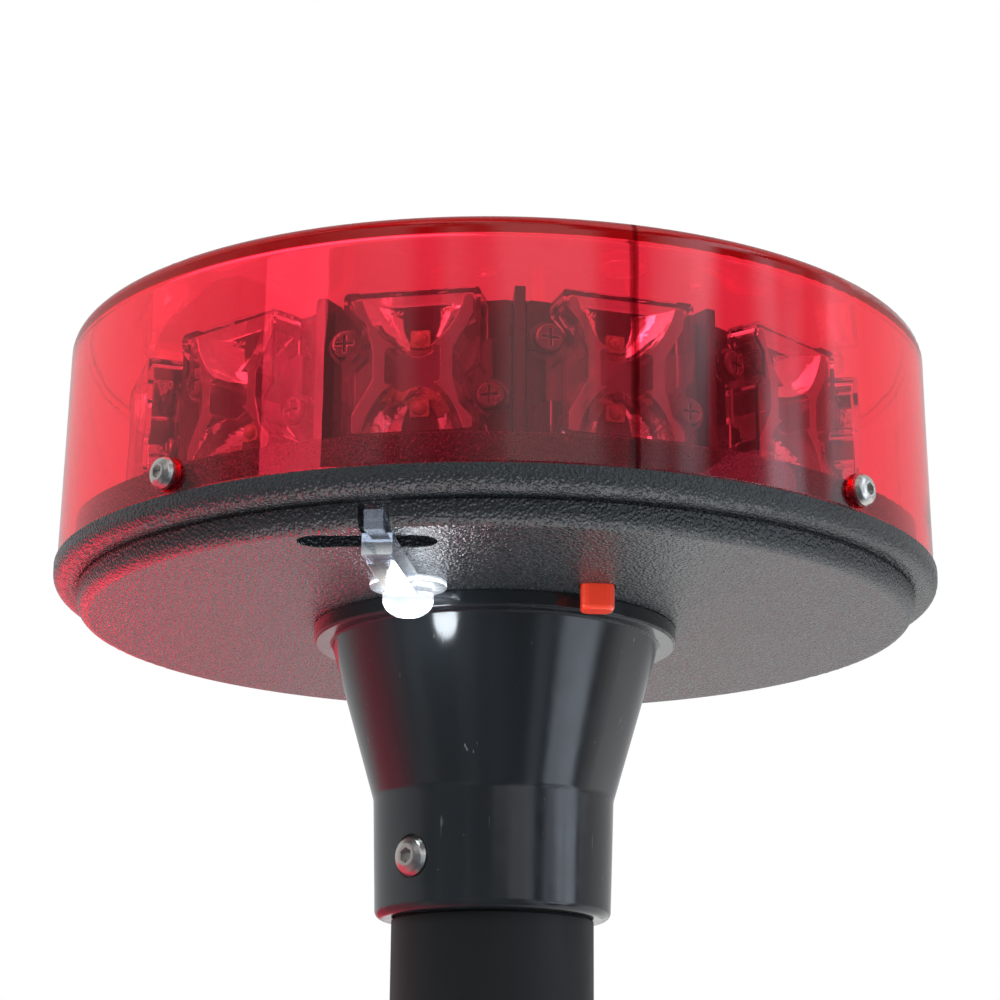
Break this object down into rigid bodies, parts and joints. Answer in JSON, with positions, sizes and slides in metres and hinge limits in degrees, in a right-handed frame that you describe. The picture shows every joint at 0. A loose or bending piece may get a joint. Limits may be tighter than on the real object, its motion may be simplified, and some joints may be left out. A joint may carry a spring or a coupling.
{
  "type": "traffic baton light",
  "caption": "Hand-held traffic baton light: a round red lens over a ring of reflector lamps, a grained base with a white downlight and push button, and a flared collar on a tube handle.",
  "frame": {"origin": "centre of the end cap's flat foot, on the handle's axis", "axes": "+Z along the handle towards the lamp head; -Y is the front, between the downlight and the push button"},
  "size_m": [0.1696, 0.1696, 0.3329],
  "materials": {
    "red_lens": "clear red, polished",
    "clear_plastic": "clear, polished",
    "black_grained": "moulded grain",
    "black_moulded": "polished mould",
    "black_carrier": "satin",
    "black_tube": "satin black anodised",
    "board_black": "solder mask",
    "board_green": "solder mask",
    "reflector_chrome": "vacuum metallised",
    "led_package": "resin",
    "lamp_white": "clear resin, lit",
    "screw_steel": "bright zinc",
    "button_orange": "polished",
    "seal_rubber": "matte",
    "chip_black": "matte",
    "ferrite_grey": "matte",
    "can_aluminium": "drawn",
    "wire_sleeve": "insulation",
    "contact_brass": "bright",
    "cell_jacket": "plain jacket",
    "spring_steel": "nickel plated"
  },
  "bodies": {
    "head_and_handle": {"base_pan": "black_grained", "battery_cells": "cell_jacket", "board_screws": "screw_steel", "button_spring": "spring_steel", "capacitors": "can_aluminium", "carrier_screws": "screw_steel", "clamp_screws": "screw_steel", "collar": "black_moulded", "collar_oring": "seal_rubber", "contact_plug": "black_carrier", "control_board": "board_green", "downlight_led": "lamp_white", "downlight_lens": "clear_plastic", "driver_chips": "chip_black", "flange_screws": "screw_steel", "handle_tube": "black_tube", "led_emitters": "led_package", "lens_dome": "red_lens", "lens_gasket": "seal_rubber", "lens_screws": "screw_steel", "light_guide": "clear_plastic", "module_boards": "board_black", "module_carrier": "black_carrier", "module_covers": "clear_plastic", "module_screws": "screw_steel", "module_wires": "wire_sleeve", "power_inductor": "ferrite_grey", "reflectors": "reflector_chrome", "supply_wires": "wire_sleeve", "tactile_switch": "chip_black", "top_contact": "contact_brass"},
    "button": {"button_cap": "button_orange"},
    "cap_seal": {"end_cap_oring": "seal_rubber", "battery_spring": "spring_steel"},
    "end_cap": {"end_cap": "black_tube"}
  },
  "joints": [
    {"name": "button_press", "type": "slide", "parent": "head_and_handle", "child": "button", "axis": [0, 0, 1], "range_m": [0, 0.0012], "stiffness_N_per_m": 900, "springref_m": -0.001, "deforming": ["button_spring"]},
    {"name": "cap_lift", "type": "slide", "parent": "head_and_handle", "child": "cap_seal", "axis": [0, 0, -1], "range_m": [0, 0.012]},
    {"name": "cap_turn", "type": "hinge", "parent": "cap_seal", "child": "end_cap", "pos_m": [0, 0, 0.006], "axis": [0, 0, -1], "range_deg": [0, 2880]}
  ],
  "couplings": [
    {"joint": "cap_lift", "follows": "cap_turn", "m_per_rad": 0.00023873}
  ]
}
